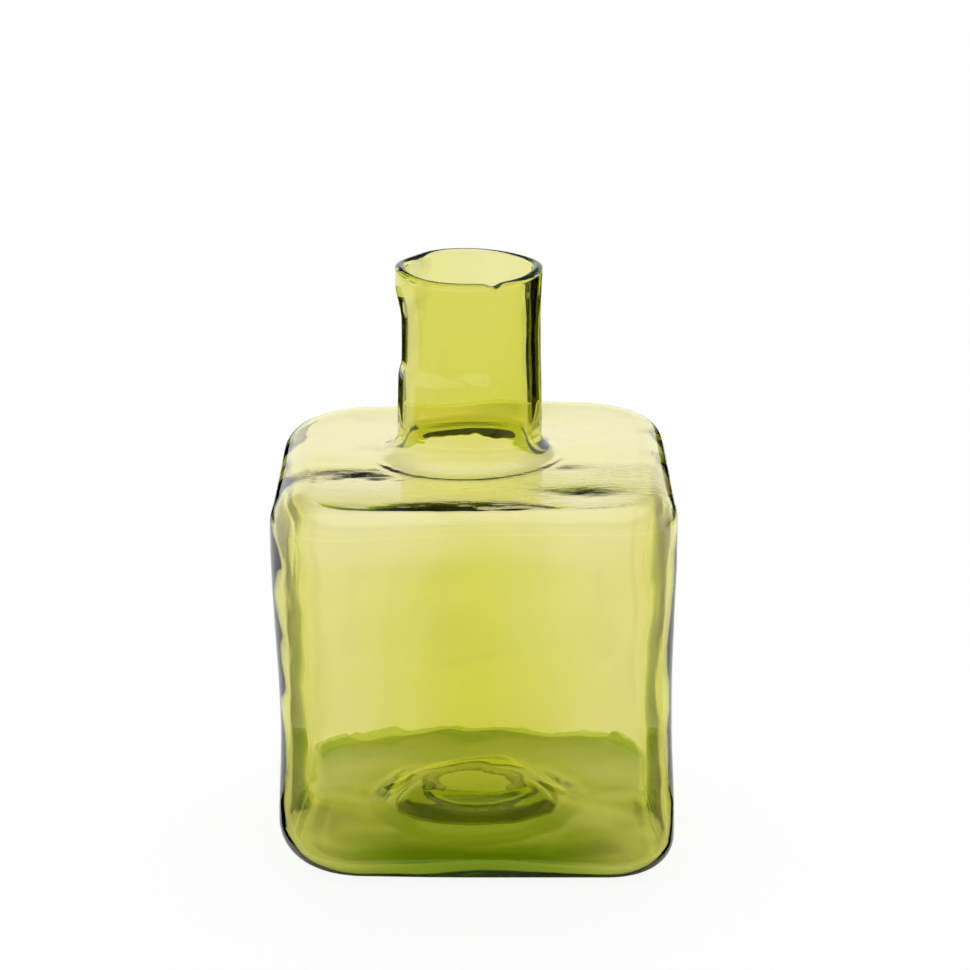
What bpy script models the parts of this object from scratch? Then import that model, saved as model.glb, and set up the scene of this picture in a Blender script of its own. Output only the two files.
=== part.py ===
# Square bud vase of blown green glass, standing on its base with the neck up.
# Metres, +Z up, front wall toward -Y, origin on the table under the middle of the body.
# The glass is one vessel. Each zone of it that a glassmaker names is an object of its own,
# fused to the next one across a hairline seam.

from math import cos, pi, sin

import bmesh
import bpy

# Body: four walls, the shoulder over them and the heel under them
BODY_WIDTH = 0.0814            # across the flats, just under the shoulder
BODY_HEIGHT = 0.0794           # from the table to the top of the shoulder
FOOT_DRAW_IN = 0.0002          # how far each wall leans in on its way down
WALL_SAG = 0.0009              # how far each wall draws in at half its height
CORNER_RADIUS = 0.0166         # upright corners, outside
SHOULDER_RADIUS = 0.0065       # rounded edge from the walls to the shoulder
HEEL_RADIUS = 0.0065           # rounded edge from the walls to the base
BODY_WALL = 0.0024             # glass in the walls and the shoulder

# Base: a floor that is pushed up in the middle, with steep sides and a flat crown
FLOOR = 0.0030                 # glass in the floor
INNER_HEEL_RADIUS = 0.0042     # rounded edge from the walls to the floor, inside
HEEL_RISE = 0.0010             # upright strip of wall that belongs to the base
PUSH_UP_DIAMETER = 0.0316      # round hollow under the base
PUSH_UP_HEIGHT = 0.0040        # its height over the table
PUSH_UP_FLANK = 0.0028         # how far its steep side spreads
PUSH_UP_WALL = 0.0018          # glass in that side

# Ring of rough glass where the vase was broken off its punty rod
SCAR_DIAMETER = 0.0196
SCAR_BREADTH = 0.0032
SCAR_THICKNESS = 0.0011

# Neck and lip, a little off the middle of the body
NECK_OFFSET = -0.0013          # along X
NECK_HEIGHT = 0.0389           # from the shoulder to the top of the lip
NECK_FOOT_DIAMETER = 0.0288    # outside, at the top of the fillet
NECK_WAIST_DIAMETER = 0.0281   # outside, just under the lip
NECK_WALL = 0.0022
NECK_FILLET = 0.0045           # hollow curve from the shoulder to the neck
LIP_DIAMETER = 0.0306          # outside
LIP_WALL = 0.0024              # fire-polished bead at the rim
LIP_HEIGHT = 0.0110            # flared end of the neck

FUSE_GAP = 0.0003              # hairline at every fused seam

# How finely the curves are stepped
CORNER_STEPS = 8
FLAT_STEPS = 4
WALL_STEPS = 6
EDGE_STEPS = 5
FILLET_STEPS = 5
DOME_STEPS = 4
NECK_STEPS = 4
FLARE_STEPS = 4
BEAD_STEPS = 6
SHARP_ANGLE = 0.7              # radians, edges sharper than this stay crisp

HALF_WIDTH = BODY_WIDTH / 2
FOOT_HALF_WIDTH = HALF_WIDTH - FOOT_DRAW_IN
TOTAL_HEIGHT = BODY_HEIGHT + NECK_HEIGHT

# Heights of the seams, each at the foot of the upper of its two zones
BODY_SEAM = max(HEEL_RADIUS, FLOOR + INNER_HEEL_RADIUS) + HEEL_RISE
SHOULDER_SEAM = BODY_HEIGHT - SHOULDER_RADIUS
NECK_SEAM = BODY_HEIGHT + NECK_FILLET + FUSE_GAP
LIP_SEAM = TOTAL_HEIGHT - LIP_HEIGHT

GLASS_GREEN = (0.62, 0.66, 0.10, 1.0)
GLASS_ROUGHNESS = 0.02
SCAR_ROUGHNESS = 0.35
GLASS_IOR = 1.5


def quarter_turn(steps):
    return [pi / 2 * step / steps for step in range(steps + 1)]


def ease(share):
    return (1 - cos(pi * share)) / 2


def square_ring(half_width, corner_radius, height):
    # A rounded square, counted from its right-hand side, with points on its flats too
    radius = max(corner_radius, FUSE_GAP)
    reach = half_width - radius
    arcs = []
    for side in range(4):
        middle = pi / 2 * side + pi / 4
        centre_x = reach * (1 if cos(middle) > 0 else -1)
        centre_y = reach * (1 if sin(middle) > 0 else -1)
        for turn in quarter_turn(CORNER_STEPS):
            angle = pi / 2 * side + turn
            arcs.append((centre_x + radius * cos(angle), centre_y + radius * sin(angle), height))
    points = []
    for index, point in enumerate(arcs):
        points.append(point)
        if index % (CORNER_STEPS + 1) == CORNER_STEPS:
            after = arcs[(index + 1) % len(arcs)]
            for step in range(1, FLAT_STEPS):
                share = step / FLAT_STEPS
                x = point[0] + (after[0] - point[0]) * share
                y = point[1] + (after[1] - point[1]) * share
                points.append((x, y, height))
    return points


def circle_ring(radius, height, centre_x=0.0):
    # A circle with as many points as a rounded square, its first ones facing the same corner
    count = 4 * (CORNER_STEPS + FLAT_STEPS)
    points = []
    for index in range(count):
        angle = pi / 4 + 2 * pi * (index - CORNER_STEPS / 2) / count
        points.append((centre_x + radius * cos(angle), radius * sin(angle), height))
    return points


def neck_ring(radius, height):
    return circle_ring(radius, height, NECK_OFFSET)


def glass(name, roughness):
    material = bpy.data.materials.new(name + "_glass")
    material.use_nodes = True
    shader = material.node_tree.nodes["Principled BSDF"]
    shader.inputs["Base Color"].default_value = GLASS_GREEN
    shader.inputs["Roughness"].default_value = roughness
    shader.inputs["Metallic"].default_value = 0.0
    shader.inputs["Transmission Weight"].default_value = 1.0
    shader.inputs["IOR"].default_value = GLASS_IOR
    return material


def draw_out(shape, loop, ring):
    # Extrudes a loop of corners onto the next ring of points
    edges = [shape.edges.get((loop[i - 1], loop[i])) for i in range(len(loop))]
    made = bmesh.ops.extrude_edge_only(shape, edges=edges)["geom"]
    fresh = {item for item in made if isinstance(item, bmesh.types.BMVert)}
    grown = []
    for corner, point in zip(loop, ring):
        ends = [edge.other_vert(corner) for edge in corner.link_edges]
        twin = next(end for end in ends if end in fresh)
        twin.co = point
        grown.append(twin)
    return grown


def loft(name, rings, vase, hollow=True, roughness=GLASS_ROUGHNESS):
    # A skin drawn over the rings: hollow runs on to the first ring again, else both ends are filled
    shape = bmesh.new()
    first = [shape.verts.new(point) for point in rings[0]]
    for i in range(len(first)):
        shape.edges.new((first[i - 1], first[i]))
    last = first
    for ring in rings[1:] + ([rings[0]] if hollow else []):
        last = draw_out(shape, last, ring)
    if hollow:
        bmesh.ops.weld_verts(shape, targetmap=dict(zip(last, first)))
    else:
        shape.faces.new(first)
        shape.faces.new(last)
    bmesh.ops.recalc_face_normals(shape, faces=shape.faces)
    mesh = bpy.data.meshes.new(name)
    shape.to_mesh(mesh)
    shape.free()
    mesh.materials.append(glass(name, roughness))
    mesh.shade_smooth()
    mesh.set_sharp_from_angle(angle=SHARP_ANGLE)
    piece = bpy.data.objects.new(name, mesh)
    piece.parent = vase
    bpy.context.collection.objects.link(piece)


def push_up_rings(floor, wall):
    # From the flat crown of the push-up down its steep side, wall outside the hollow
    edge = PUSH_UP_DIAMETER / 2 + wall
    rings = []
    for step in range(DOME_STEPS + 1):
        share = step / DOME_STEPS
        radius = edge - PUSH_UP_FLANK * (1 - share)
        rings.append(circle_ring(radius, floor + PUSH_UP_HEIGHT * (1 - ease(share))))
    return rings


def heel_rings(half_width, corner_radius, round_radius, foot):
    # A rounded edge from the flat at the foot out and up to the walls
    rings = []
    for turn in quarter_turn(EDGE_STEPS):
        inset = round_radius * (1 - sin(turn))
        height = foot + round_radius * (1 - cos(turn))
        rings.append(square_ring(half_width - inset, corner_radius - inset, height))
    return rings


def make_base(vase):
    inner_half_width = FOOT_HALF_WIDTH - BODY_WALL
    inner_corner = CORNER_RADIUS - BODY_WALL
    top = BODY_SEAM - FUSE_GAP
    rings = push_up_rings(0.0, 0.0)
    rings += heel_rings(FOOT_HALF_WIDTH, CORNER_RADIUS, HEEL_RADIUS, 0.0)
    rings.append(square_ring(FOOT_HALF_WIDTH, CORNER_RADIUS, top))
    rings.append(square_ring(inner_half_width, inner_corner, top))
    inner_heel = heel_rings(inner_half_width, inner_corner, INNER_HEEL_RADIUS, FLOOR)
    rings += reversed(inner_heel)
    rings += reversed(push_up_rings(FLOOR, PUSH_UP_WALL))
    loft("base", rings, vase, hollow=False)


def make_pontil_scar(vase):
    # A ring that lies against the crown of the push-up, clear of the table
    outer = SCAR_DIAMETER / 2
    inner = outer - SCAR_BREADTH
    top = PUSH_UP_HEIGHT - FUSE_GAP
    foot = top - SCAR_THICKNESS
    rings = [
        circle_ring(inner, top),
        circle_ring(outer, top),
        circle_ring(outer, foot),
        circle_ring(inner, foot),
    ]
    loft("pontil_scar", rings, vase, roughness=SCAR_ROUGHNESS)


def make_body(vase):
    # Four walls that draw in gently between the heel and the shoulder
    top = SHOULDER_SEAM - FUSE_GAP
    outside = []
    inside = []
    for step in range(WALL_STEPS + 1):
        share = step / WALL_STEPS
        half_width = HALF_WIDTH - FOOT_DRAW_IN * (1 - share) - WALL_SAG * sin(pi * share) ** 2
        height = BODY_SEAM + (top - BODY_SEAM) * share
        outside.append(square_ring(half_width, CORNER_RADIUS, height))
        inside.append(square_ring(half_width - BODY_WALL, CORNER_RADIUS - BODY_WALL, height))
    loft("body", outside + inside[::-1], vase)


def shoulder_edge(half_width, corner_radius, round_radius):
    # A rounded edge from the walls up and in to the flat of the shoulder
    rings = []
    for turn in quarter_turn(EDGE_STEPS):
        inset = round_radius * (1 - cos(turn))
        height = SHOULDER_SEAM + round_radius * sin(turn)
        rings.append(square_ring(half_width - inset, corner_radius - inset, height))
    return rings


def neck_fillet(side_wall, top_wall):
    # The hollow curve from the shoulder into the neck, or its inside at those walls
    foot = NECK_FOOT_DIAMETER / 2
    rings = []
    for turn in quarter_turn(FILLET_STEPS):
        radius = foot + NECK_FILLET - (NECK_FILLET + side_wall) * sin(turn)
        height = BODY_HEIGHT + NECK_FILLET - (NECK_FILLET + top_wall) * cos(turn)
        rings.append(neck_ring(radius, height))
    return rings


def make_shoulder(vase):
    outside = shoulder_edge(HALF_WIDTH, CORNER_RADIUS, SHOULDER_RADIUS) + neck_fillet(0.0, 0.0)
    inside = shoulder_edge(
        HALF_WIDTH - BODY_WALL, CORNER_RADIUS - BODY_WALL, SHOULDER_RADIUS - BODY_WALL
    )
    inside += neck_fillet(NECK_WALL, BODY_WALL)
    loft("shoulder", outside + inside[::-1], vase)


def make_neck(vase):
    foot = NECK_FOOT_DIAMETER / 2
    waist = NECK_WAIST_DIAMETER / 2
    top = LIP_SEAM - FUSE_GAP
    outside = []
    inside = []
    for step in range(NECK_STEPS + 1):
        share = step / NECK_STEPS
        radius = foot + (waist - foot) * ease(share)
        height = NECK_SEAM + (top - NECK_SEAM) * share
        outside.append(neck_ring(radius, height))
        inside.append(neck_ring(radius - NECK_WALL, height))
    loft("neck", outside + inside[::-1], vase)


def make_lip(vase):
    # A short flare that ends in a round bead
    waist = NECK_WAIST_DIAMETER / 2
    edge = LIP_DIAMETER / 2
    bead = LIP_WALL / 2
    bead_height = TOTAL_HEIGHT - bead
    outside = []
    inside = []
    for step in range(FLARE_STEPS):
        share = step / FLARE_STEPS
        radius = waist + (edge - waist) * ease(share)
        wall = NECK_WALL + (LIP_WALL - NECK_WALL) * share
        height = LIP_SEAM + (bead_height - LIP_SEAM) * share
        outside.append(neck_ring(radius, height))
        inside.append(neck_ring(radius - wall, height))
    rim = []
    for step in range(BEAD_STEPS + 1):
        turn = pi * step / BEAD_STEPS
        rim.append(neck_ring(edge - bead + bead * cos(turn), bead_height + bead * sin(turn)))
    loft("lip", outside + rim + inside[::-1], vase)


def main():
    for leftover in list(bpy.data.objects):
        bpy.data.objects.remove(leftover, do_unlink=True)
    vase = bpy.data.objects.new("bud_vase", None)
    bpy.context.collection.objects.link(vase)
    make_base(vase)
    make_pontil_scar(vase)
    make_body(vase)
    make_shoulder(vase)
    make_neck(vase)
    make_lip(vase)


main()
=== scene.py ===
import math
import bmesh
import bpy
import numpy as np
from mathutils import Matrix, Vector, noise


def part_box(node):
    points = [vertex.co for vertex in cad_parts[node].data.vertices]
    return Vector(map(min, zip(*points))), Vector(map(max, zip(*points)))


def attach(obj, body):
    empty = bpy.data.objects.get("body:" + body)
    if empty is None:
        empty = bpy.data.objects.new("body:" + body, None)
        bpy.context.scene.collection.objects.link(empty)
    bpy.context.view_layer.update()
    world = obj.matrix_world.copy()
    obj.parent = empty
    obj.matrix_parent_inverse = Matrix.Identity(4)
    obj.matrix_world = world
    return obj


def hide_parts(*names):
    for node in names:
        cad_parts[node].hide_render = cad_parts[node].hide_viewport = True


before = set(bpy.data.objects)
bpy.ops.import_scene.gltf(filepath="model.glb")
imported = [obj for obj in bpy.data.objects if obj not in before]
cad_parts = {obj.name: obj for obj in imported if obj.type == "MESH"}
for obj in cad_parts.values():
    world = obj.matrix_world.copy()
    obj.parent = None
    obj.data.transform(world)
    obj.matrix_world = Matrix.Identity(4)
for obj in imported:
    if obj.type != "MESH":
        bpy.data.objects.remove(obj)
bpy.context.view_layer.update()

print("frame loaded:", sorted(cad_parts))

mm = 0.001  # the frame is in metres, and sizes below are in millimetres unless a note says so


def smooth(low, high, value):
    share = np.clip((value - low) / (high - low), 0.0, 1.0)
    return share * share * (3 - 2 * share)


def bell(value, middle, spread):
    # 1 in the middle, falling away to either side
    return np.exp(-((value - middle) / spread) ** 2)


def nodeBox(name):
    low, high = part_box(name)
    return np.array(low) / mm, np.array(high) / mm


def fill(tree, socket, value):
    # A socket gets a link from another node, or else a number or a colour of its own
    if isinstance(value, bpy.types.NodeSocket):
        tree.links.new(value, socket)
    else:
        socket.default_value = value


def mathNode(tree, operation, first, second):
    node = tree.nodes.new("ShaderNodeMath")
    node.operation = operation
    fill(tree, node.inputs[0], first)
    fill(tree, node.inputs[1], second)
    return node.outputs[0]


def mixNode(tree, kind, share, first, second):
    node = tree.nodes.new("ShaderNodeMix")
    node.data_type = kind
    for name, value in (("Factor", share), ("A", first), ("B", second)):
        fill(tree, node.inputs[name], value)
    return node.outputs["Result"]


def product(tree, value, *shares):
    for share in shares:
        value = mathNode(tree, "MULTIPLY", value, share)
    return value


def rangeNode(tree, value, edge, ends=(0.0, 1.0)):
    # Eases from one end to the other where the value crosses the edge
    node = tree.nodes.new("ShaderNodeMapRange")
    node.interpolation_type = "SMOOTHSTEP"
    tree.links.new(value, node.inputs["Value"])
    for name, number in zip(("From Min", "From Max", "To Min", "To Max"), (*edge, *ends)):
        node.inputs[name].default_value = number
    return node.outputs["Result"]


# The camera stands a little above the vase and looks down on its front wall
camera = {
    "target": (2.11, 0.0, 71.72),
    "distance": 650,
    "elevation": 16.55,
    "lens": 117.7,
    "sensor": 36.0,
    "farEnd": 50000,
}


def placeCamera():
    data = bpy.data.cameras.new("studioCamera")
    data.lens = camera["lens"]
    data.sensor_width = camera["sensor"]
    data.clip_end = camera["farEnd"] * mm
    eye = bpy.data.objects.new("studioCamera", data)
    bpy.context.collection.objects.link(eye)
    reach = camera["distance"] * mm
    tilt = math.radians(camera["elevation"])
    target = Vector(camera["target"]) * mm
    eye.location = target + Vector((0, -reach * math.cos(tilt), reach * math.sin(tilt)))
    eye.rotation_euler = (target - eye.location).to_track_quat("-Z", "Y").to_euler()
    bpy.context.scene.camera = eye


# White table and backdrop in a dark studio with its light overhead, sizes in metres
studio = {
    "bounces": 32,
    "mirrorBounces": 16,
    "anyBounce": 0.5,  # between no bounce off the table and one
    "tableSize": 8.0,
    "tableDrop": 0.00002,  # a hair under the vase
    "tableGrey": (0.9, 0.9, 0.9),
    "tableGlow": 1.015,
    "tableWhite": 0.9,  # how much of the table's look is plain white to the camera
    "tableThrough": 0.55,  # the same through the glass
    "lightBack": 1.9,  # light that falls on the table from behind the vase
    "lightFront": 0.15,  # and from the camera's side
    "lightEdge": (-0.8, 0.8),  # sine of the turn to the back where one gives way to the other
    "backdrop": 0.88,
    "backdropTop": (0.36, 0.46),  # sine of the elevation where it ends
    "backdropSide": (-0.2, 0.3),  # sine of the turn to the back where it starts
    "allRound": 0.9,  # how much of it stands on the other sides, seen through the glass
    "room": 0.17,
    "overhead": 1.2,
    "overheadEdge": (0.72, 0.85),
    "paper": (0.004, 0.004, 0.004),
    "cardReach": 0.26,
    "cardSteps": 25,
    "cards": [  # degrees from straight behind, to the right, then the heights
        ((19, 80), (0.014, 0.070)),
        ((-52, -13), (0.014, 0.050)),
    ],
    "apron": (0.052, 0.5),  # inner and outer radius of the black sheet that the front mirrors
    "apronTurn": 95,  # how far it goes round to either side, in degrees from the front
    "apronSteps": 49,
}


def makeTable():
    half = studio["tableSize"] / 2
    corners = [(-half, -half, 0), (half, -half, 0), (half, half, 0), (-half, half, 0)]
    mesh = bpy.data.meshes.new("table")
    mesh.from_pydata(corners, [], [(0, 1, 2, 3)])
    table = bpy.data.objects.new("table", mesh)
    table.location.z = -studio["tableDrop"]
    bpy.context.collection.objects.link(table)
    material = bpy.data.materials.new("whiteTable")
    material.use_nodes = True
    tree = material.node_tree
    tree.nodes.remove(tree.nodes["Principled BSDF"])
    matt = tree.nodes.new("ShaderNodeBsdfDiffuse")
    matt.inputs["Color"].default_value = (*studio["tableGrey"], 1)
    glow = tree.nodes.new("ShaderNodeEmission")
    glow.inputs["Strength"].default_value = studio["tableGlow"]
    path = tree.nodes.new("ShaderNodeLightPath")
    bent = product(tree, path.outputs["Is Transmission Ray"], studio["tableThrough"])
    straight = product(tree, path.outputs["Is Camera Ray"], studio["tableWhite"])
    mix = tree.nodes.new("ShaderNodeMixShader")
    tree.links.new(mathNode(tree, "MAXIMUM", bent, straight), mix.inputs["Fac"])
    tree.links.new(matt.outputs[0], mix.inputs[1])
    tree.links.new(glow.outputs[0], mix.inputs[2])
    tree.links.new(mix.outputs[0], tree.nodes["Material Output"].inputs["Surface"])
    mesh.materials.append(material)


def makeSky():
    world = bpy.data.worlds.new("studioSky")
    bpy.context.scene.world = world
    world.use_nodes = True
    tree = world.node_tree
    background = tree.nodes["Background"]
    background.inputs["Color"].default_value = (1, 1, 1, 1)
    way = tree.nodes.new("ShaderNodeTexCoord")
    split = tree.nodes.new("ShaderNodeSeparateXYZ")
    tree.links.new(way.outputs["Generated"], split.inputs[0])
    toBack = split.outputs["Y"]
    height = split.outputs["Z"]
    path = tree.nodes.new("ShaderNodeLightPath")
    # What the glass shows: the backdrop, the dark room and the light overhead
    behind = rangeNode(tree, toBack, studio["backdropSide"])
    around = product(tree, path.outputs["Is Transmission Ray"], studio["allRound"])
    behind = mathNode(tree, "MAXIMUM", behind, around)
    backdrop = rangeNode(tree, height, studio["backdropTop"], (studio["backdrop"], 0.0))
    overhead = rangeNode(tree, height, studio["overheadEdge"], (studio["room"], studio["overhead"]))
    seen = mathNode(tree, "ADD", product(tree, backdrop, behind), overhead)
    # What falls on the table, and plain white for the camera
    even = rangeNode(tree, toBack, studio["lightEdge"], (studio["lightFront"], studio["lightBack"]))
    onTable = mathNode(tree, "GREATER_THAN", path.outputs["Diffuse Depth"], studio["anyBounce"])
    light = mixNode(tree, "FLOAT", onTable, seen, even)
    light = mixNode(tree, "FLOAT", path.outputs["Is Camera Ray"], light, 1.0)
    tree.links.new(light, background.inputs["Strength"])


def blackPaper():
    material = bpy.data.materials.new("blackPaper")
    material.use_nodes = True
    shader = material.node_tree.nodes["Principled BSDF"]
    shader.inputs["Base Color"].default_value = (*studio["paper"], 1)
    shader.inputs["Roughness"].default_value = 1.0
    shader.inputs["Specular IOR Level"].default_value = 0.0
    return material


def hangPaper(name, points, faces):
    # Only the glass sees it
    mesh = bpy.data.meshes.new(name)
    mesh.from_pydata(points, [], faces)
    mesh.materials.append(bpy.data.materials.get("blackPaper") or blackPaper())
    paper = bpy.data.objects.new(name, mesh)
    bpy.context.collection.objects.link(paper)
    paper.visible_camera = False
    paper.visible_diffuse = False
    paper.visible_shadow = False
    return paper


def makeCards():
    # Curved black cards beside and behind the vase, which draw the dark edges in the glass
    points = []
    faces = []
    for turns, heights in studio["cards"]:
        for step, turn in enumerate(np.radians(np.linspace(*turns, studio["cardSteps"]))):
            x = studio["cardReach"] * math.sin(turn)
            y = studio["cardReach"] * math.cos(turn)
            here = len(points)
            points += [(x, y, height) for height in heights]
            if step:
                faces.append((here - 2, here, here + 1, here - 1))
    hangPaper("blackCards", points, faces)


def makeApron():
    # A black sheet in front of the vase, which the glass mirrors but doesn't let through
    points = []
    faces = []
    half = studio["apronTurn"]
    for step, turn in enumerate(np.radians(np.linspace(-half, half, studio["apronSteps"]))):
        here = len(points)
        points += [(reach * math.sin(turn), -reach * math.cos(turn), 0.0) for reach in studio["apron"]]
        if step:
            faces.append((here - 2, here - 1, here + 1, here))
    apron = hangPaper("blackApron", points, faces)
    apron.visible_transmission = False


# Glass vessel: sizes that the solids give, then what the blower left in the glass
footHigh = nodeBox("base")[1]
bodyHigh = nodeBox("body")[1]
shoulderHigh = nodeBox("shoulder")[1]
neckLow, neckHigh = nodeBox("neck")
lipLow, lipHigh = nodeBox("lip")
wallRoom = 0.45  # kept free inside the solids for the ripples
lipRoom = 0.1

vessel = {
    "around": 200,  # points on each ring
    "rings": {  # on each stretch of the skin, with its ends
        "pushUp": 30,
        "foot": 12,
        "heel": 13,
        "wall": 60,
        "edge": 17,
        "flat": 40,
        "fillet": 17,
        "neck": 46,
        "bead": 16,
        "innerWall": 58,
        "innerHeel": 13,
        "floor": 14,
        "stepFoot": 6,
        "step": 34,
    },
    "firstReach": 0.4,  # radius of the smallest ring, in the middle of the base
    "flatCrowd": 1.6,  # how the rings of the shoulder's flat crowd toward the neck
    # A size with four values goes right, back, left, front. A pair named for a start or an end
    # holds the heights between which something comes or goes
    # Walls
    "halfWidth": bodyHigh[0] - wallRoom,
    "footDrawIn": bodyHigh[0] - footHigh[0],
    "drawInEnds": (8, 70),  # heights between which that goes back to nothing
    "wallSag": 0.7,  # how far the walls draw in at half height
    "sagStarts": (6, 30),
    "sagEnds": (36, 66),
    "corners": (17.5, 18.0, 17.0, 13.5),  # back right, back left, front left, front right
    "cornerLeast": 0.5,  # radius
    "cornerMost": 0.999,  # share of the half width
    "cornerSharp": 1.5,  # how closely the thin glass keeps to the corners
    "faceWall": 2.5,
    "faceShare": (1.15, 0.45),  # share of it low on the faces, and how much of that is lost higher up
    "faceThins": (10, 72),
    "cornerWall": 1.3,
    "wallFull": 12,  # how far under the shoulder's edge the walls have their full thickness
    # Shoulder
    "shoulderRound": (7.0, 7.0, 8.0, 4.2),
    "shoulderWall": 0.78,
    "neckFillet": 4.5,
    "innerFillet": (1.0, 0.2),  # front and back: 1 is an even curve, less is a sharper edge
    "filletTurn": (0.3, 0.8),  # sine of the turn to the back where one gives way to the other
    # Neck and lip
    "neckCentre": (neckLow[0] + neckHigh[0]) / 2,
    "neckFoot": (neckHigh[0] - neckLow[0]) / 2,
    "neckWaist": 14.05,
    "waistHeight": 20,  # over the neck's foot
    "neckWall": (2.1, 2.1, 1.4, 2.2),
    "neckThicken": (0.0, 0.2, 0.0, 0.1),  # how much thicker the wall is at the foot of the neck
    "thickHeight": 22,  # where that ends, over the neck's foot
    "top": lipHigh[2] - lipRoom,
    "lipRadius": (lipHigh[0] - lipLow[0]) / 2 - lipRoom,
    "lipBead": 1.0,
    "lipFlare": 11.0,
    "beadStarts": 6,  # how far under the top the wall starts to thicken to the bead
    # Base
    "heelRound": (6.0, 2.2, 9.0, 6.0),
    "innerHeel": (4.3, 0.3, 7.2, 4.4),
    "floor": 2.7,
    "floorThin": 0.8,  # how much thinner it is in the corners
    "thinReach": (24, 40),
    "pushUp": 22.0,  # reach of the hollow under the base
    "pushUpCrown": 0.42,  # share of it that is flat
    "pushUpHeight": 4.0,
    "step": 17.8,  # reach of the step that the floor has round the push-up
    "stepRoom": 3.0,  # how far outside it the rings of the floor are circles already
    "stepSide": (0.88, 0.45),  # where the step is full, as a share of its reach, in front and behind
    "stepEase": (1.0, 2.0),  # 1 is a crisp foot, 2 a soft one, in front and behind
    "stepTurn": (-0.55, -0.15),  # sine of the turn to the back where one gives way to the other
    "stepHeight": (2.0, 1.0),
    "stepSinks": (-14, 8),  # how far back it goes from one height to the other
    # Out of true
    "lean": (0.35, -0.25),  # how far the walls stand to the right, at the foot and at the shoulder
    "leanStarts": (15, 62),
    "leanEnds": (76, 84),
    "shoulderTilt": 0.013,  # rise of the shoulder to the right
    "tiltStarts": (40, 75),
    "tiltEnds": (79, 84),
    "backCrest": 0.9,  # extra height near the middle of the back edge
    "crestPlace": 9,  # to the right of the middle
    "crestSpread": 15,
    "crestBack": (20, 38),
    "crestStarts": (60, 76),
    "frontDrop": 1.6,  # how far the shoulder sinks toward the front edge
    "dropReach": 38,  # how far forward it is full
    "dropCurve": 1.5,
    "dropStarts": (55, 74),
    "dropEnds": (79.5, 84),
    # Marks on the shoulder
    "shoulderDents": [  # place, spread across, spread along, depth, share of the streaks
        ((-24.0, -18.5), 10.0, 4.6, 0.47, 0.45),
        ((21.5, -29.5), 8.0, 3.8, 0.56, 0.3),
        ((-6.0, -37.8), 32.0, 4.2, 0.60, 0.2),
        ((18.2, -14.5), 4.0, 2.0, 0.17, 0.0),
    ],
    "dentHeights": (70, 84),
    "dentStreaks": 1.1,
    "streakSize": (5.0, 1.2, 1000.0),  # across, along, and as good as endless upward
    "streakSeed": 9,
    "neckGroove": (20.6, 0.7, 0.11),  # reach, spread and depth of the line in front of the neck
    "grooveFront": (4, 12),
    # The edge inside the back of the neck's foot
    "archRagged": 0.8,  # how far it wanders
    "archWaves": [(5, 1.0, 11), (2, 0.5, 12)],  # size, strength and seed
    "archBack": (4, 9),
    "archReach": (16, 19),
    "archStarts": (74, 77),
    "archEnds": (82, 90),
    # The uneven rim and neck
    "rimStarts": (104, 112),
    "lipPinch": 0.12,  # how much narrower the back of the rim is
    "pinchBack": (0, 10),
    "lipTurn": 1.2,  # how far the back of the rim stands to the left
    "turnBack": (6, 15),
    "lipDip": 1.0,  # how much lower the front of the rim is
    "dipFront": (0, 14),
    "dipStarts": (108, 117),
    "rimNick": (-71, 6.0, 0.55, 0.5),  # direction and spread in degrees, depth, push outward
    "nickStarts": (113, 117),
    "neckSteps": [  # lower and upper height, direction in degrees, push outward below and above
        (95.0, 98.5, 180, 0.35, -0.25),
        (106.5, 113.5, 180, 0.0, 0.3),
        (113.5, 117.0, 180, 0.0, -0.2),
        (106.0, 117.0, 0, 0.3, -0.5),
    ],
    "neckStepsStart": (81, 86),
    # Ripples, with the places where each zone starts
    "footZone": (0.5, 4),
    "shoulderZone": (70, 76),
    "neckZone": (80, 84),
    "rimZone": (114, 117),
    "cornerZone": (30, 38),  # from the middle
    "cornerZoneSharp": 4,
    "rippleShift": (17.3, 5.1, 9.7),  # between one seed and the next
    "ripples": [  # size, then the depth outside and inside on each zone
        {
            "size": 17,
            "face": (0.12, 0.30),
            "corner": (0.10, 0.20),
            "shoulder": (0.05, 0.12),
            "neck": (0.08, 0.16),
        },
        {
            "size": 7,
            "face": (0.04, 0.10),
            "corner": (0.03, 0.09),
            "shoulder": (0.02, 0.02),
            "neck": (0.03, 0.03),
        },
    ],
    "bubbles": [((-8.4, -4.8, 6.2), 1.4)],  # place and radius of the air trapped in the floor
    "bubbleRounds": 3,  # how often a bubble's faces are divided
}
vessel["shoulderTop"] = shoulderHigh[2] - vessel["neckFillet"]
vessel["neckBottom"] = vessel["shoulderTop"] + vessel["neckFillet"]
vessel["beadHeight"] = vessel["top"] - vessel["lipBead"]

angles = 2 * math.pi * np.arange(vessel["around"]) / vessel["around"]
cosines = np.cos(angles)
sines = np.sin(angles)
quarter = (angles // (math.pi / 2)).astype(int)  # which corner each point faces
cornerness = np.abs(np.sin(2 * angles)) ** vessel["cornerSharp"]  # 0 in mid face, 1 at a corner


def past(name, value):
    # 0 before the two places that the name gives, 1 after them
    low, high = vessel[name]
    return smooth(low, high, value)


def bySide(name):
    # A size that eases from side to side round the vase
    right, back, left, front = vessel[name]
    across = np.where(cosines > 0, right, left)
    along = np.where(sines > 0, back, front)
    return across * cosines ** 2 + along * sines ** 2


def frontToBack(name, turn):
    # A size that is one thing all along the front and another along the back
    front, back = vessel[name]
    return front + (back - front) * past(turn, sines)


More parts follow.
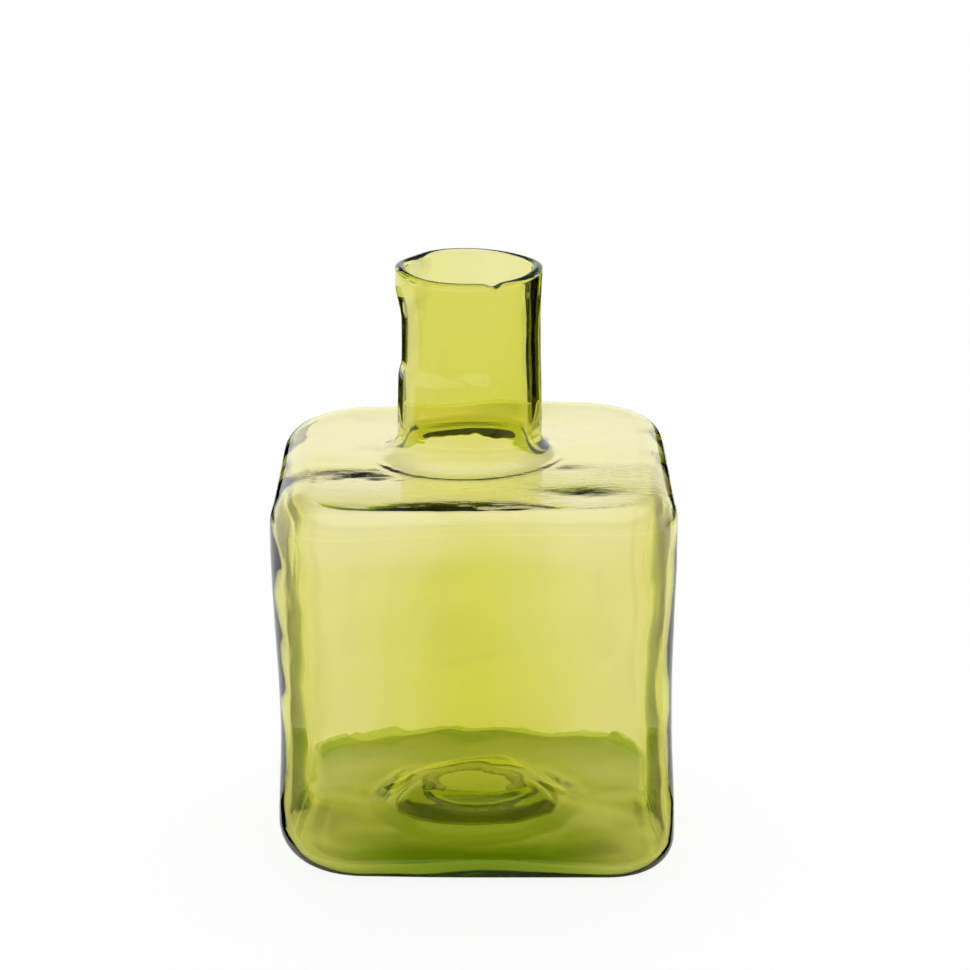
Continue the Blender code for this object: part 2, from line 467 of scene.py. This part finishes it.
def squareReach(half, cornerRadii):
    # Distance from the middle to a rounded square, for every angle of a ring
    across = np.abs(cosines)
    along = np.abs(sines)
    radius = np.minimum(cornerRadii, half * vessel["cornerMost"])
    inner = half - radius
    flat = half / np.maximum(across, along)
    slack = radius ** 2 - inner ** 2 * (across - along) ** 2
    arc = inner * (across + along) + np.sqrt(np.maximum(slack, 0.0))
    onCorner = np.minimum(across, along) * flat > inner
    return np.where(onCorner, arc, flat)


def ring(half, cornerRadii, height, roundness=0.0, centre=0.0):
    # A rounded square, or a circle where the roundness is 1
    reach = squareReach(half, cornerRadii) * (1 - roundness) + half * roundness
    points = np.empty((vessel["around"], 3))
    points[:, 0] = centre + reach * cosines
    points[:, 1] = reach * sines
    points[:, 2] = height
    return points


def cornerRing(inset):
    radii = np.array(vessel["corners"])[quarter]
    return np.maximum(radii - inset, vessel["cornerLeast"])


def wall(height):
    # Thickness of the walls: thin at the corners and near the shoulder, thick low on the faces
    share, loss = vessel["faceShare"]
    face = vessel["faceWall"] * (share - loss * past("faceThins", height))
    return face + (vessel["cornerWall"] - face) * cornerness


def wallHalf(height):
    drawIn = 1 - past("drawInEnds", height)
    sag = past("sagStarts", height) * (1 - past("sagEnds", height))
    return vessel["halfWidth"] - vessel["footDrawIn"] * drawIn - vessel["wallSag"] * sag


def pushUp(reach):
    edge = vessel["pushUp"]
    return vessel["pushUpHeight"] * (1 - smooth(vessel["pushUpCrown"] * edge, edge, reach))


def floorEdge(reach):
    # The floor before it rises, thinner in the corners
    return vessel["floor"] - vessel["floorThin"] * cornerness * past("thinReach", reach)


def floorRise(reach):
    # The floor inside follows the push-up, with a step that is crisp in front and sinks to the back
    full = frontToBack("stepSide", "stepTurn")
    side = np.clip((reach / vessel["step"] - full) / (1 - full), 0, 1)
    step = (1 - side ** 2) ** frontToBack("stepEase", "stepTurn")
    front, back = vessel["stepHeight"]
    height = front + (back - front) * past("stepSinks", reach * sines)
    return floorEdge(reach) + pushUp(reach) + height * step


def neckWall(height):
    # Thicker toward the shoulder, and as thick as the bead at the rim
    foot = vessel["neckBottom"]
    low = 1 - smooth(foot, foot + vessel["thickHeight"], height)
    thick = bySide("neckWall") * (1 + bySide("neckThicken") * low)
    rim = smooth(vessel["top"] - vessel["beadStarts"], vessel["beadHeight"], height)
    return thick * (1 - rim) + 2 * vessel["lipBead"] * rim


def neckReach(height):
    foot = vessel["neckBottom"]
    waist = vessel["neckWaist"]
    bead = vessel["beadHeight"]
    narrow = smooth(foot, foot + vessel["waistHeight"], height)
    flare = smooth(bead - vessel["lipFlare"], bead, height)
    body = vessel["neckFoot"] + (waist - vessel["neckFoot"]) * narrow
    return body + (vessel["lipRadius"] - waist) * flare


def outsideRings():
    # From the middle of the base up to the lip
    rings = []
    count = vessel["rings"]
    foot = wallHalf(0.0)
    heel = bySide("heelRound")
    edge = vessel["pushUp"]
    for reach in np.linspace(vessel["firstReach"], edge, count["pushUp"]):
        rings.append(ring(reach, 0.0, pushUp(reach), 1.0))
    for share in np.linspace(0, 1, count["foot"])[1:-1]:
        half = edge + (foot - heel - edge) * share
        rings.append(ring(half, cornerRing(heel), 0.0, 1 - smooth(0, 1, share)))
    for turn in np.linspace(0, math.pi / 2, count["heel"]):
        inset = heel * (1 - math.sin(turn))
        rings.append(ring(foot - inset, cornerRing(inset), heel * (1 - math.cos(turn))))
    seam = vessel["shoulderTop"] - bySide("shoulderRound")
    for share in np.linspace(0, 1, count["wall"])[1:-1]:
        height = heel + (seam - heel) * share
        rings.append(ring(wallHalf(height), cornerRing(0.0), height))
    rings += shoulderRings(0.0)
    rings += neckRings(False)
    return rings


def shoulderRings(drop):
    # The rounded edge of the shoulder, its flat and the fillet into the neck, drop under the outside
    rings = []
    count = vessel["rings"]
    top = vessel["shoulderTop"] - drop
    half = vessel["halfWidth"] - drop
    edge = bySide("shoulderRound") - drop
    for turn in np.linspace(0, math.pi / 2, count["edge"]):
        inset = edge * (1 - math.cos(turn))
        height = top - edge + edge * math.sin(turn)
        rings.append(ring(half - inset, cornerRing(drop + inset), height))
    fillet = vessel["neckFillet"]
    start = vessel["neckFoot"] + fillet
    for share in 1 - np.linspace(1, 0, count["flat"])[1:-1] ** vessel["flatCrowd"]:
        size = half - edge + (start - half + edge) * share
        roundness = smooth(0, 1, share)
        centre = vessel["neckCentre"] * roundness
        rings.append(ring(size, cornerRing(drop + edge), top, roundness, centre))
    foot = vessel["neckBottom"]
    side = neckWall(foot) if drop else 0.0
    power = frontToBack("innerFillet", "filletTurn") if drop else 1.0
    for turn in np.linspace(0, math.pi / 2, count["fillet"]):
        reach = start - (fillet + side) * math.sin(turn) ** power
        height = foot - (fillet + drop) * abs(math.cos(turn)) ** power
        rings.append(ring(reach, 0.0, height, 1.0, vessel["neckCentre"]))
    return rings


def neckRings(inside):
    rings = []
    for height in np.linspace(vessel["neckBottom"], vessel["beadHeight"], vessel["rings"]["neck"])[1:]:
        thick = neckWall(height) if inside else 0.0
        rings.append(ring(neckReach(height) - thick, 0.0, height, 1.0, vessel["neckCentre"]))
    return rings


def beadRings():
    rings = []
    bead = vessel["lipBead"]
    for turn in np.linspace(0, math.pi, vessel["rings"]["bead"])[1:-1]:
        reach = vessel["lipRadius"] - bead + bead * math.cos(turn)
        height = vessel["beadHeight"] + bead * math.sin(turn)
        rings.append(ring(reach, 0.0, height, 1.0, vessel["neckCentre"]))
    return rings


def insideRings():
    # From the lip down to the middle of the floor
    count = vessel["rings"]
    rings = neckRings(True)[::-1]
    drop = vessel["shoulderWall"]
    rings += shoulderRings(drop)[::-1]
    seam = vessel["shoulderTop"] - bySide("shoulderRound")
    heel = bySide("innerHeel")
    bottom = floorEdge(vessel["halfWidth"])
    lowest = bottom + heel
    for share in np.linspace(0, 1, count["innerWall"])[1:-1]:
        height = seam + (lowest - seam) * share
        thick = drop + (wall(height) - drop) * smooth(0, vessel["wallFull"], seam - height)
        rings.append(ring(wallHalf(height) - thick, cornerRing(thick), height))
    thick = wall(lowest)
    foot = wallHalf(lowest) - thick
    for turn in np.linspace(math.pi / 2, 0, count["innerHeel"]):
        inset = heel * (1 - math.sin(turn))
        height = bottom + heel * (1 - math.cos(turn))
        rings.append(ring(foot - inset, cornerRing(thick + inset), height))
    edge = vessel["step"]
    start = edge + vessel["stepRoom"]
    for share in np.linspace(0, 1, count["floor"])[1:-1]:
        half = foot - heel + (start - foot + heel) * share
        flat = ring(half, cornerRing(thick + heel), 0.0, smooth(0, 1, share))
        flat[:, 2] = floorRise(np.hypot(flat[:, 0], flat[:, 1]))
        rings.append(flat)
    outer = np.linspace(start, edge, count["stepFoot"])[:-1]
    inner = np.linspace(edge, vessel["firstReach"], count["step"])
    for reach in np.concatenate((outer, inner)):
        rings.append(ring(reach, 0.0, floorRise(reach), 1.0))
    return rings


def ripple(points, size, seed):
    shift = Vector([seed * step for step in vessel["rippleShift"]])
    return np.array([noise.noise(Vector(point) / size + shift) for point in points])


def leanOver(points, moved):
    # The walls lean, and the shoulder tilts, sinks to the front and has a crest behind
    x, y, z = points.T
    foot, top = vessel["lean"]
    moved[:, 0] += foot + (top - foot) * past("leanStarts", z) * (1 - past("leanEnds", z))
    tilted = past("tiltStarts", z) * (1 - past("tiltEnds", z))
    moved[:, 2] += vessel["shoulderTilt"] * x * tilted
    crest = bell(x, vessel["crestPlace"], vessel["crestSpread"]) * past("crestBack", y)
    moved[:, 2] += vessel["backCrest"] * crest * past("crestStarts", z)
    toFront = np.clip(-y / vessel["dropReach"], 0, 1) ** vessel["dropCurve"]
    dropped = past("dropStarts", z) * (1 - past("dropEnds", z))
    moved[:, 2] -= vessel["frontDrop"] * toFront * dropped


def dentShoulder(points, moved, outside):
    # Streaky dents in the outer skin, and a fine line in front of the neck
    x, y, z = points.T
    low, high = vessel["dentHeights"]
    onTop = outside & (z > low) & (z < high)
    streaks = ripple(points[onTop] / vessel["streakSize"], 1, vessel["streakSeed"])
    streaks *= vessel["dentStreaks"]
    onShoulder = past("shoulderZone", z)
    for place, across, along, depth, share in vessel["shoulderDents"]:
        dent = np.exp(-((x - place[0]) / across) ** 2 - ((y - place[1]) / along) ** 2)
        moved[onTop, 2] -= depth * (1 + share * streaks) * (dent * onShoulder)[onTop]
    reach, spread, depth = vessel["neckGroove"]
    groove = bell(np.hypot(x - vessel["neckCentre"], y), reach, spread) * past("grooveFront", -y)
    moved[outside, 2] -= (depth * groove * onShoulder)[outside]


def roughenArch(points, moved, inside):
    # The edge inside the back of the neck's foot wanders up and down
    x, y, z = points.T
    behind = y > vessel["archBack"][0]
    arch = inside & behind & (z > vessel["archStarts"][0]) & (z < vessel["archEnds"][1])
    acrossOnly = points[arch] * (1, 0, 0)
    waves = vessel["archWaves"]
    wander = sum(strength * ripple(acrossOnly, size, seed) for size, strength, seed in waves)
    fade = past("archBack", y[arch]) * past("archStarts", z[arch])
    fade *= 1 - past("archEnds", z[arch])
    fade *= 1 - past("archReach", np.hypot(x[arch] - vessel["neckCentre"], y[arch]))
    moved[arch, 2] += vessel["archRagged"] * wander * fade


def bendLip(points, moved):
    # The back of the rim is narrower and stands to the left, the front is lower and has a nick
    x, y, z = points.T
    aside = x - vessel["neckCentre"]
    rim = past("rimStarts", z)
    moved[:, 0] -= vessel["lipPinch"] * aside * past("pinchBack", y) * rim
    moved[:, 0] -= vessel["lipTurn"] * past("turnBack", y) * rim
    moved[:, 2] -= vessel["lipDip"] * past("dipFront", -y) * past("dipStarts", z)
    turn, spread, depth, push = vessel["rimNick"]
    nick = bell(np.degrees(np.arctan2(y, aside)), turn, spread)
    moved[:, 2] -= depth * nick * past("nickStarts", z)
    moved[:, 1] -= push * nick * past("rimZone", z)


def stepNeck(points, moved):
    # Soft steps in the outline of the neck
    x, y, z = points.T
    way = np.arctan2(y, x - vessel["neckCentre"])
    onNeck = past("neckStepsStart", z)
    for low, high, direction, under, over in vessel["neckSteps"]:
        turn = math.radians(direction)
        facing = np.maximum(0, np.cos(way - turn)) ** 2
        push = (under + (over - under) * smooth(low, high, z)) * facing * onNeck
        moved[:, 0] += push * math.cos(turn)
        moved[:, 1] += push * math.sin(turn)


def handBlown(points, normals, outside):
    # Ripples push the skin in and out along its normals, more on the inside than on the outside
    x, y, z = points.T
    onNeck = past("neckZone", z)
    onShoulder = past("shoulderZone", z) * (1 - onNeck)
    diagonal = np.abs(np.sin(2 * np.arctan2(y, x))) ** vessel["cornerZoneSharp"]
    turned = diagonal * past("cornerZone", np.hypot(x, y))
    walls = (1 - onNeck) * (1 - onShoulder)
    zones = {
        "face": walls * (1 - turned),
        "corner": walls * turned,
        "shoulder": onShoulder,
        "neck": onNeck,
    }
    push = np.zeros(len(points))
    for order, wave in enumerate(vessel["ripples"]):
        for skin, part in enumerate((outside, ~outside)):
            depth = sum(wave[zone][skin] * share for zone, share in zones.items())
            push[part] += depth[part] * ripple(points[part], wave["size"], 1 + 2 * order + skin)
    onFoot = 1 - past("footZone", z)
    push *= np.where(outside, 1 - onFoot, 1.0) * (1 - past("rimZone", z))
    return points + normals * push[:, None]


def addBubbles(points, faces):
    # Air in the glass: small spheres turned inside out
    for place, radius in vessel["bubbles"]:
        first = len(points)
        ball = bmesh.new()
        bmesh.ops.create_icosphere(ball, subdivisions=vessel["bubbleRounds"], radius=radius)
        ball.verts.index_update()
        points = np.concatenate((points, [np.array(corner.co) + place for corner in ball.verts]))
        faces += [tuple(first + corner.index for corner in reversed(face.verts)) for face in ball.faces]
        ball.free()
    return points


def makeVessel():
    outerRings = outsideRings() + beadRings()
    rings = outerRings + insideRings()
    count = vessel["around"]
    points = np.concatenate(rings)
    skin = len(points)
    outside = np.arange(skin) < len(outerRings) * count
    moved = points.copy()
    leanOver(points, moved)
    dentShoulder(points, moved, outside)
    roughenArch(points, moved, ~outside)
    bendLip(points, moved)
    stepNeck(points, moved)
    faces = []
    for low in range(len(rings) - 1):
        here = low * count
        above = here + count
        for i in range(count):
            j = (i + 1) % count
            faces.append((here + i, here + j, above + j, above + i))
    faces.append(tuple(reversed(range(count))))
    faces.append(tuple(range(skin - count, skin)))
    points = addBubbles(moved, faces)
    mesh = bpy.data.meshes.new("glassVessel")
    mesh.from_pydata((points * mm).tolist(), [], faces)
    mesh.validate()
    normals = np.empty(len(points) * 3)
    mesh.vertices.foreach_get("normal", normals)
    points[:skin] = handBlown(points[:skin], normals.reshape(-1, 3)[:skin], outside)
    mesh.vertices.foreach_set("co", (points * mm).ravel())
    mesh.update()
    mesh.shade_smooth()
    piece = bpy.data.objects.new("glassVessel", mesh)
    bpy.context.collection.objects.link(piece)
    print("vessel:", len(rings), "rings,", len(faces), "faces")
    return piece


glassLook = {
    "ior": 1.5,
    "specular": 0.2,
    "through": (0.86, 0.898, 0.0),  # share of each colour let through at the density below
    "density": 450.0,
    "tint": (1.0, 0.95, 0.95),
    "streaks": (0.985, 0.933, 0.92),
    "streakGrain": ((9.0, 9.0, 40.0), 1.0),  # size and detail of the noise, as in each grain below
    "streakEdge": (0.4, 0.7),
    "deepGlassAndShade": (0.45, 0.56, 0.08),  # the thick glass in the middle of the base, darkened further as painted shade of the shaded table seen through it
    "deepPlace": (0.0, -24.0, 0.0),  # an upright oval column round this place
    "deepSize": (36.0, 32.0, 1000.0),
    "deepEdge": (0.45, 1.15),
    "deepEnds": (6.0, 10.0),  # heights where it fades out
    "deepElsewhere": 0.4,  # how much of it the rest of the floor has
    "deepBack": 1.0,  # and how much the back of the floor
    "deepBehind": (16.0, 36.8),  # how far back one gives way to the other
    "deepInside": (38.3, 38.7),  # and how far back it ends, inside the back wall
    "deepTop": 3.2,  # where it ends on the walls
    "deepRagged": 2.2,  # how far that edge wanders
    "raggedEdge": 0.1,  # how soft it is
    "raggedGrain": ((3.5, 3.5, 20.0), 4.0),
    "waveDepth": 0.02,
    "waveGrain": ((7.0, 7.0, 3.5), 1.0),
    "waveStarts": (8.0, 14.0),
    "chillDepth": 1.8,  # of the fine wrinkles on the front of the shoulder, against waveDepth
    "chillGrain": ((2.5, 0.5, 0.5), 2.0),
    "chillFront": (-14.0, -8.0),
    "chillStarts": (77.0, 79.0),
    "chillEnds": (80.5, 82.0),
    "footScuff": 0.06,  # roughness where the vase stands
    "footHeight": 0.3,
    "scuffGrain": ((1.5, 1.5, 1.5), 3.0),
    "scuffEdge": (0.4, 0.6),
    "scuffLeast": 0.1,
}


def noiseNode(tree, place, grain):
    size, detail = grain
    scale = tree.nodes.new("ShaderNodeMapping")
    scale.inputs["Scale"].default_value = [1 / (mm * length) for length in size]
    tree.links.new(place, scale.inputs["Vector"])
    texture = tree.nodes.new("ShaderNodeTexNoise")
    texture.inputs["Scale"].default_value = 1.0
    texture.inputs["Detail"].default_value = detail
    tree.links.new(scale.outputs[0], texture.inputs["Vector"])
    return texture.outputs["Fac"]


def placeNode(tree, axis, edge, ends=(0.0, 1.0)):
    # A range whose edge is given in millimetres
    return rangeNode(tree, axis, [place * mm for place in edge], ends)


def bumpNode(tree, height, depth):
    bump = tree.nodes.new("ShaderNodeBump")
    bump.inputs["Strength"].default_value = 1.0
    bump.inputs["Distance"].default_value = depth * mm
    tree.links.new(height, bump.inputs["Height"])
    return bump.outputs["Normal"]


def clearGlass(name):
    # Glass whose colour follows its thickness
    material = bpy.data.materials.new(name)
    material.use_nodes = True
    tree = material.node_tree
    shader = tree.nodes["Principled BSDF"]
    shader.inputs["IOR"].default_value = glassLook["ior"]
    shader.inputs["Transmission Weight"].default_value = 1.0
    absorption = tree.nodes.new("ShaderNodeVolumeAbsorption")
    absorption.inputs["Color"].default_value = (*glassLook["through"], 1)
    absorption.inputs["Density"].default_value = glassLook["density"]
    tree.links.new(absorption.outputs["Volume"], tree.nodes["Material Output"].inputs["Volume"])
    return material


def deepAndShadeShare(tree, place, split):
    # Where the colour deepens: an oval in the middle of the base, partly thicker glass and partly
    # painted shade of the shaded table under it
    oval = tree.nodes.new("ShaderNodeMapping")
    oval.vector_type = "TEXTURE"
    oval.inputs["Location"].default_value = [length * mm for length in glassLook["deepPlace"]]
    oval.inputs["Scale"].default_value = [length * mm for length in glassLook["deepSize"]]
    tree.links.new(place, oval.inputs["Vector"])
    reach = tree.nodes.new("ShaderNodeVectorMath")
    reach.operation = "LENGTH"
    tree.links.new(oval.outputs["Vector"], reach.inputs[0])
    middle = rangeNode(tree, reach.outputs["Value"], glassLook["deepEdge"], (1.0, 0.0))
    inBase = placeNode(tree, split.outputs["Z"], glassLook["deepEnds"], (1.0, 0.0))
    middle = product(tree, middle, inBase)
    # And the rest of the floor, darker as painted shade, which ends in a ragged edge on the walls: a
    # painted edge that stands for bent light, not a shape
    ragged = noiseNode(tree, place, glassLook["raggedGrain"])
    ragged = product(tree, ragged, glassLook["deepRagged"] * mm)
    height = mathNode(tree, "ADD", split.outputs["Z"], ragged)
    top = glassLook["deepTop"] + glassLook["deepRagged"] / 2
    edge = (top - glassLook["raggedEdge"], top + glassLook["raggedEdge"])
    inFloor = placeNode(tree, height, edge, (1.0, 0.0))
    ends = (glassLook["deepElsewhere"], glassLook["deepBack"])
    share = placeNode(tree, split.outputs["Y"], glassLook["deepBehind"], ends)
    inside = placeNode(tree, split.outputs["Y"], glassLook["deepInside"], (1.0, 0.0))
    return mathNode(tree, "MAXIMUM", middle, product(tree, inFloor, share, inside))


def skinWaves(tree, place, split):
    # The finest waves of the blown skin, and chill wrinkles on the front of the shoulder
    waves = noiseNode(tree, place, glassLook["waveGrain"])
    onWalls = placeNode(tree, split.outputs["Z"], glassLook["waveStarts"])
    waves = product(tree, waves, onWalls)
    wrinkles = noiseNode(tree, place, glassLook["chillGrain"])
    ends = (glassLook["chillDepth"], 0.0)
    chilled = placeNode(tree, split.outputs["Y"], glassLook["chillFront"], ends)
    onTop = placeNode(tree, split.outputs["Z"], glassLook["chillStarts"])
    underNeck = placeNode(tree, split.outputs["Z"], glassLook["chillEnds"], (1.0, 0.0))
    wrinkles = product(tree, wrinkles, chilled, onTop, underNeck)
    return mathNode(tree, "ADD", waves, wrinkles)


def makeGlass():
    material = clearGlass("greenGlass")
    tree = material.node_tree
    shader = tree.nodes["Principled BSDF"]
    shader.inputs["Specular IOR Level"].default_value = glassLook["specular"]
    place = tree.nodes.new("ShaderNodeTexCoord").outputs["Object"]
    split = tree.nodes.new("ShaderNodeSeparateXYZ")
    tree.links.new(place, split.inputs[0])
    # Faint streaks of deeper glass, and the deepest colour in the base, partly thick glass and partly
    # painted shade
    streaks = noiseNode(tree, place, glassLook["streakGrain"])
    streaks = rangeNode(tree, streaks, glassLook["streakEdge"])
    colour = mixNode(tree, "RGBA", streaks, (*glassLook["tint"], 1), (*glassLook["streaks"], 1))
    deep = deepAndShadeShare(tree, place, split)
    colour = mixNode(tree, "RGBA", deep, colour, (*glassLook["deepGlassAndShade"], 1))
    tree.links.new(colour, shader.inputs["Base Color"])
    waves = skinWaves(tree, place, split)
    tree.links.new(bumpNode(tree, waves, glassLook["waveDepth"]), shader.inputs["Normal"])
    # Scuffs where it stands
    foot = (0.0, glassLook["footHeight"])
    worn = placeNode(tree, split.outputs["Z"], foot, (glassLook["footScuff"], 0.0))
    scuffs = noiseNode(tree, place, glassLook["scuffGrain"])
    scuffs = rangeNode(tree, scuffs, glassLook["scuffEdge"], (glassLook["scuffLeast"], 1.0))
    tree.links.new(product(tree, worn, scuffs), shader.inputs["Roughness"])
    return material


# Pontil scar: the ring of broken glass under the push-up
scarHigh = nodeBox("pontil_scar")[1]
scarRoom = 0.2  # kept free inside the solid

scar = {
    "around": 144,
    "across": 14,  # points over the top of the ring, and as many under it
    "outer": scarHigh[0] - scarRoom,
    "ragged": 0.8,  # how far its edges wander
    "raggedWaves": 2.2,  # more is a busier edge
    "breadth": 3.0,
    "breadthShare": (0.85, 0.3),  # share of it on average, and how far that varies
    "breadthWaves": 3.0,
    "thickness": 0.95,
    "swell": 0.6,  # 1 is a round section, less is a flatter one
    "blunt": 0.02,  # share of the breadth at which the edges are blunt
    "gap": 0.3,  # to the glass over it
    "chips": 0.35,  # how deep the broken face is
    "chipSize": 1.1,
    "wander": (3.1, 7.7, 1.3),  # where in the noise its shape is taken
}


def makeScar():
    wander = Vector(scar["wander"])
    blunt = scar["blunt"]
    average, varies = scar["breadthShare"]
    points = []
    for turn in 2 * math.pi * np.arange(scar["around"]) / scar["around"]:
        way = Vector((math.cos(turn), math.sin(turn), 0))
        edge = noise.noise(way * scar["raggedWaves"] + wander)
        outer = scar["outer"] - scar["ragged"] * (1 + edge) / 2
        broad = average + varies * noise.noise(way * scar["breadthWaves"] - wander)
        inner = outer - scar["breadth"] * broad
        top = []
        under = []
        for share in np.linspace(0, 1, scar["across"]):
            reach = inner + (outer - inner) * share
            height = pushUp(reach) - scar["gap"]
            swell = math.sin(math.pi * min(max(share, blunt), 1 - blunt)) ** scar["swell"]
            chip = noise.noise(way * reach / scar["chipSize"] + wander)
            depth = scar["thickness"] * swell * (1 + scar["chips"] * chip)
            top.append((reach * way.x, reach * way.y, height))
            under.append((reach * way.x, reach * way.y, height - depth))
        points += top + under[::-1]
    loop = 2 * scar["across"]
    faces = []
    for i in range(scar["around"]):
        here = i * loop
        there = (i + 1) % scar["around"] * loop
        for k in range(loop):
            beside = (k + 1) % loop
            faces.append((here + k, here + beside, there + beside, there + k))
    mesh = bpy.data.meshes.new("pontilScar")
    mesh.from_pydata((np.array(points) * mm).tolist(), [], faces)
    mesh.validate()
    mesh.shade_smooth()
    piece = bpy.data.objects.new("pontilScar", mesh)
    bpy.context.collection.objects.link(piece)
    print("scar:", len(faces), "faces")
    return piece


scarLook = {
    "tint": (0.90, 0.93, 0.75),
    "frost": (0.97, 0.98, 0.93),
    "frostEdge": (0.35, 0.65),
    "rough": (0.18, 0.5),
    "roughEdge": (0.3, 0.7),
    "grain": ((0.6, 0.6, 0.6), 4.0),
    "grainDepth": 0.05,
}


def makeScarGlass():
    material = clearGlass("scarGlass")
    tree = material.node_tree
    shader = tree.nodes["Principled BSDF"]
    place = tree.nodes.new("ShaderNodeTexCoord").outputs["Object"]
    grain = noiseNode(tree, place, scarLook["grain"])
    frosted = rangeNode(tree, grain, scarLook["frostEdge"])
    colour = mixNode(tree, "RGBA", frosted, (*scarLook["tint"], 1), (*scarLook["frost"], 1))
    tree.links.new(colour, shader.inputs["Base Color"])
    rough = rangeNode(tree, grain, scarLook["roughEdge"], scarLook["rough"])
    tree.links.new(rough, shader.inputs["Roughness"])
    tree.links.new(bumpNode(tree, grain, scarLook["grainDepth"]), shader.inputs["Normal"])
    return material


scene = bpy.context.scene
scene.view_settings.view_transform = "Standard"
scene.cycles.max_bounces = studio["bounces"]
scene.cycles.transmission_bounces = studio["bounces"]
scene.cycles.glossy_bounces = studio["mirrorBounces"]

placeCamera()
makeTable()
makeSky()
makeCards()
makeApron()
print("studio ready")

glassVessel = makeVessel()
glassVessel.data.materials.append(makeGlass())
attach(glassVessel, "root")
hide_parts("base", "body", "shoulder", "neck", "lip")

pontilScar = makeScar()
pontilScar.data.materials.append(makeScarGlass())
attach(pontilScar, "root")
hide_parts("pontil_scar")
print("glass dressed")
